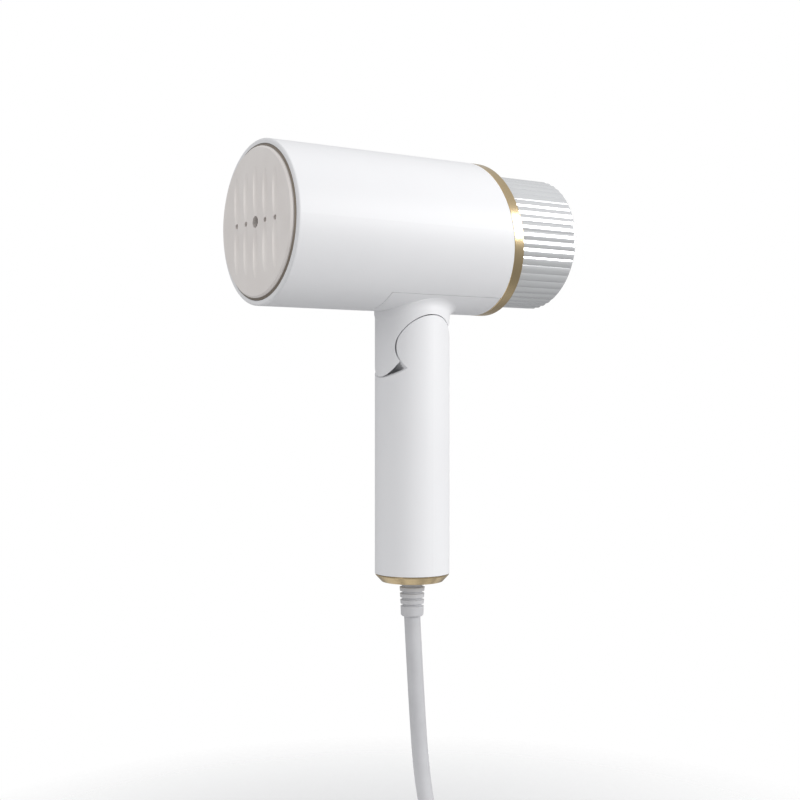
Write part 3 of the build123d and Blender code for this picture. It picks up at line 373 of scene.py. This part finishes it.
end = min(bm.faces, key=lambda f: f.calc_center_median().y)
shoulder = ((0.0008, 0.97, 0.96), (0.0016, 0.9, 0.88), (0.0022, 0.82, 0.86), (0.003, 0.82, 0.9))
rib = ((0.0011, 0.97), (0.0002, 0.84), (0.0011, 1.0), (0.0002, 1.14))  # a ridge and the groove after it
plug_ribs = 4
for advance, wide, high in shoulder:
    end = draw_out(bm, end, advance, wide, high)
for advance, size in rib * plug_ribs:
    end = draw_out(bm, end, advance, size, size)
drawn = sum(step[0] for step in shoulder + rib * plug_ribs)
end = draw_out(bm, end, tail_length - drawn, 0.93, 0.93)
end = draw_out(bm, end, 0.0004, 0.9, 0.9)
front = max(bm.faces, key=lambda f: f.calc_center_median().y)
bmesh.ops.bevel(
    bm, geom=list(front.edges), offset=front_round, segments=3, affect="EDGES", profile=0.5, material=-1,
)
placing = Matrix((
    (-plug_side.x, plug_way.x, 0, 0), (-plug_side.y, plug_way.y, 0, 0), (0, 0, 1, 0), (0, 0, 0, 1),
))
placing.translation = plug_to + plug_way * (tail_length + plug_length / 2)
bmesh.ops.transform(bm, matrix=placing, verts=bm.verts)
plug_body = stand_in(bm, "plug_body", "handle")

# %% [markdown]
# The strap is a band of hook-and-loop tape: a cube with rounded edges, open on two sides, made solid. Its
# loose end lies over the band as a second, short layer with rounded corners.

# %% Coil tie
tie_angle = radians(65)
coil_ring = (coil_high.x - coil_low.x) / 2 - 3 * lead_radius
band_wide, band_high, band_long = 0.0232, 0.0156, 0.01
band_round = 0.0034
flap_wide, flap_shift, flap_round = 0.013, -0.0008, 0.0022
tape = 0.0008
bm = bmesh.new()
bmesh.ops.create_cube(bm, size=1.0)
bmesh.ops.scale(bm, vec=(band_wide, band_long, band_high), verts=bm.verts)
long_edges = [e for e in bm.edges if abs(e.verts[0].co.y - e.verts[1].co.y) > band_long / 2]
bmesh.ops.bevel(
    bm, geom=long_edges, offset=band_round, segments=6, affect="EDGES", profile=0.5, material=-1,
)
sides = sorted(bm.faces, key=lambda f: -abs(f.calc_center_median().y))[:2]
bmesh.ops.delete(bm, geom=sides, context="FACES_ONLY")
bmesh.ops.recalc_face_normals(bm, faces=bm.faces)
bmesh.ops.solidify(bm, geom=list(bm.faces), thickness=-tape)
flap = bmesh.ops.create_cube(bm, size=1.0)["verts"]
bmesh.ops.scale(bm, vec=(flap_wide, band_long * 0.96, tape), verts=flap)
bmesh.ops.translate(bm, vec=(flap_shift, 0, band_high / 2 + tape * 1.5), verts=flap)
flap_corners = [
    e for e in bm.edges
    if e.verts[0] in flap and e.verts[1] in flap and abs(e.verts[0].co.z - e.verts[1].co.z) > tape / 2
]
bmesh.ops.bevel(
    bm, geom=flap_corners, offset=flap_round, segments=4, affect="EDGES", profile=0.5, material=-1,
)
bmesh.ops.rotate(bm, matrix=Matrix.Rotation(tie_angle, 3, "Z"), verts=bm.verts)
bmesh.ops.translate(
    bm, verts=bm.verts, vec=(
        coil_middle.x + coil_ring * cos(tie_angle), coil_middle.y + coil_ring * sin(tie_angle),
        coil_middle.z,
    ),
)
coil_tie = stand_in(bm, "coil_tie", "handle")

# %% [markdown]
# ## Springs
# Three small springs stand behind the two buttons and behind the tank's valve. A spring is a ring of wire
# spun along its axis while it climbs.

# %% Springs
spring_steps = 24  # per turn


def spring(node, radius, wire, turns, body):
    """Coil spring in the CAD spring's place, along Y."""
    low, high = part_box(node)
    span = high.y - low.y
    middle_x, middle_z = (low.x + high.x) / 2, (low.z + high.z) / 2
    bm = bmesh.new()
    ring = bmesh.ops.create_circle(bm, segments=10, radius=wire)["verts"]
    edges = list(bm.edges)
    bmesh.ops.translate(bm, vec=(middle_x + radius, 0, 0), verts=ring)
    bmesh.ops.translate(bm, vec=(0, low.y + wire, middle_z), verts=ring)
    rise = (span - 2 * wire) / (turns * spring_steps)
    bmesh.ops.spin(
        bm, geom=ring + edges, cent=(middle_x, 0, middle_z), axis=(0, 1, 0), dvec=(0, rise, 0),
        angle=2 * pi * turns, steps=round(turns * spring_steps), use_merge=False,
    )
    ends = [e for e in bm.edges if e.is_boundary]
    bmesh.ops.holes_fill(bm, edges=ends, sides=10)
    piece = stand_in(bm, node, body)
    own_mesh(piece)


for button, travel in (("steam", 0.0012), ("power", 0.0008)):
    node = button + "_button_spring"
    spring(
        node, radius=0.0033, wire=0.00022, turns=2.5, body="handle",
    )
spring(
    "valve_spring", radius=0.00175, wire=0.0002, turns=5, body="water_tank",
)

# %% [markdown]
# The lead itself is one curve.

# %% Lead as one curve
lead_curve = bpy.data.curves.new("mains_lead", "CURVE")
lead_curve.dimensions = "3D"
line = lead_curve.splines.new("NURBS")
route = drop_route + coil_route + tail_route
line.points.add(len(route) - 1)
for point, place in zip(line.points, route):
    point.co = (*place, 1)
line.order_u = 3
line.use_endpoint_u = True
line.resolution_u = 6
lead_curve.bevel_depth = lead_radius
lead_curve.bevel_resolution = 6
lead_curve.materials.append(finishes["cord_grey"])
mains_lead = bpy.data.objects.new("mains_lead", lead_curve)
bpy.context.scene.collection.objects.link(mains_lead)
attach(mains_lead, "handle")
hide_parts("cord_drop", "cord_coil", "cord_tail")

# %% [markdown]
# ## The studio
# The floor is a pale matt disc under the lead. It fades out away from its middle, so no horizon shows.


# %% Floor
def floor_finish():
    """Pale matt floor that fades out away from its middle."""
    material = bpy.data.materials.new("floor_pale")
    material.use_nodes = True
    nodes, links = material.node_tree.nodes, material.node_tree.links
    surface = nodes["Principled BSDF"]
    surface.inputs["Roughness"].default_value = 0.9
    surface.inputs["Base Color"].default_value = (0.93, 0.93, 0.93, 1)
    place = nodes.new("ShaderNodeTexCoord")
    away = nodes.new("ShaderNodeVectorMath")
    away.operation = "LENGTH"
    links.new(place.outputs["Object"], away.inputs[0])
    fade = nodes.new("ShaderNodeMapRange")
    fade.inputs["From Min"].default_value, fade.inputs["From Max"].default_value = 0.14, 0.3
    fade.inputs["To Min"].default_value, fade.inputs["To Max"].default_value = 1.0, 0.0
    links.new(away.outputs["Value"], fade.inputs["Value"])
    links.new(fade.outputs["Result"], surface.inputs["Alpha"])
    return material


floor_bm = bmesh.new()
bmesh.ops.create_circle(floor_bm, cap_ends=True, segments=96, radius=1.0)
floor_mesh = bpy.data.meshes.new("floor")
floor_bm.to_mesh(floor_mesh)
floor_bm.free()
floor_mesh.materials.append(floor_finish())
floor = bpy.data.objects.new("floor", floor_mesh)
floor.location = (0, 0, ground - 0.0002)
bpy.context.scene.collection.objects.link(floor)
floor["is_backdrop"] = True

# %% [markdown]
# The surround is white where the camera sees it. As a source of light it is dimmer, and darker below than
# above, which gives the white covers their grey undersides and the gold something dark to mirror.

# %% Surround
world = bpy.data.worlds.new("surround")
world.use_nodes = True
bpy.context.scene.world = world
sky, sky_links = world.node_tree.nodes, world.node_tree.links
lit = sky["Background"]
lit.inputs["Color"].default_value = (0.98, 0.985, 1, 1)
way = sky.new("ShaderNodeTexCoord")
height = sky.new("ShaderNodeSeparateXYZ")
sky_links.new(way.outputs["Generated"], height.inputs["Vector"])
shade = sky.new("ShaderNodeMapRange")
shade.interpolation_type = "SMOOTHSTEP"
shade.inputs["From Min"].default_value, shade.inputs["From Max"].default_value = -0.7, 0.5
shade.inputs["To Min"].default_value, shade.inputs["To Max"].default_value = 0.3, 0.6
sky_links.new(height.outputs["Z"], shade.inputs["Value"])
sky_links.new(shade.outputs["Result"], lit.inputs["Strength"])
seen = sky.new("ShaderNodeBackground")
seen.inputs["Color"].default_value = (1, 1, 1, 1)
seen.inputs["Strength"].default_value = 1.0
path = sky.new("ShaderNodeLightPath")
choose = sky.new("ShaderNodeMixShader")
sky_links.new(path.outputs["Is Camera Ray"], choose.inputs["Fac"])
sky_links.new(lit.outputs["Background"], choose.inputs[1])
sky_links.new(seen.outputs["Background"], choose.inputs[2])
sky_links.new(choose.outputs["Shader"], sky["World Output"].inputs["Surface"])

# %% [markdown]
# Three soft lights shine on the steamer: a strong key on the camera's right, a weak one above, and one on
# the left for the plate.


# %% Lights
def soft_light(name, ahead, right, up, width, height, power):
    """Rectangular light, placed as seen from the camera's direction, that shines on the steamer."""
    light = bpy.data.lights.new(name, "AREA")
    light.shape = "RECTANGLE"
    light.size, light.size_y = width, height
    light.energy = power
    lamp = bpy.data.objects.new(name, light)
    lamp.location = -forward * ahead + aside * right + Vector((0, 0, up))
    lamp.rotation_euler = (Vector((0, 0, 0.05)) - lamp.location).to_track_quat("-Z", "Y").to_euler()
    bpy.context.scene.collection.objects.link(lamp)
    return lamp


soft_light("key", 0.33, 0.87, 0.34, 0.42, 0.42, 5.2)
soft_light("top", 0.1, 0.1, 1.1, 0.9, 0.9, 1.0)
soft_light("left", 0.85, -0.75, 0.3, 0.6, 0.8, 2.4)
bpy.context.scene.view_settings.view_transform = "Standard"

# %% Sizes
low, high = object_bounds()
print("visual box, mm:", [round((b - a) * 1000, 1) for a, b in zip(low, high)])
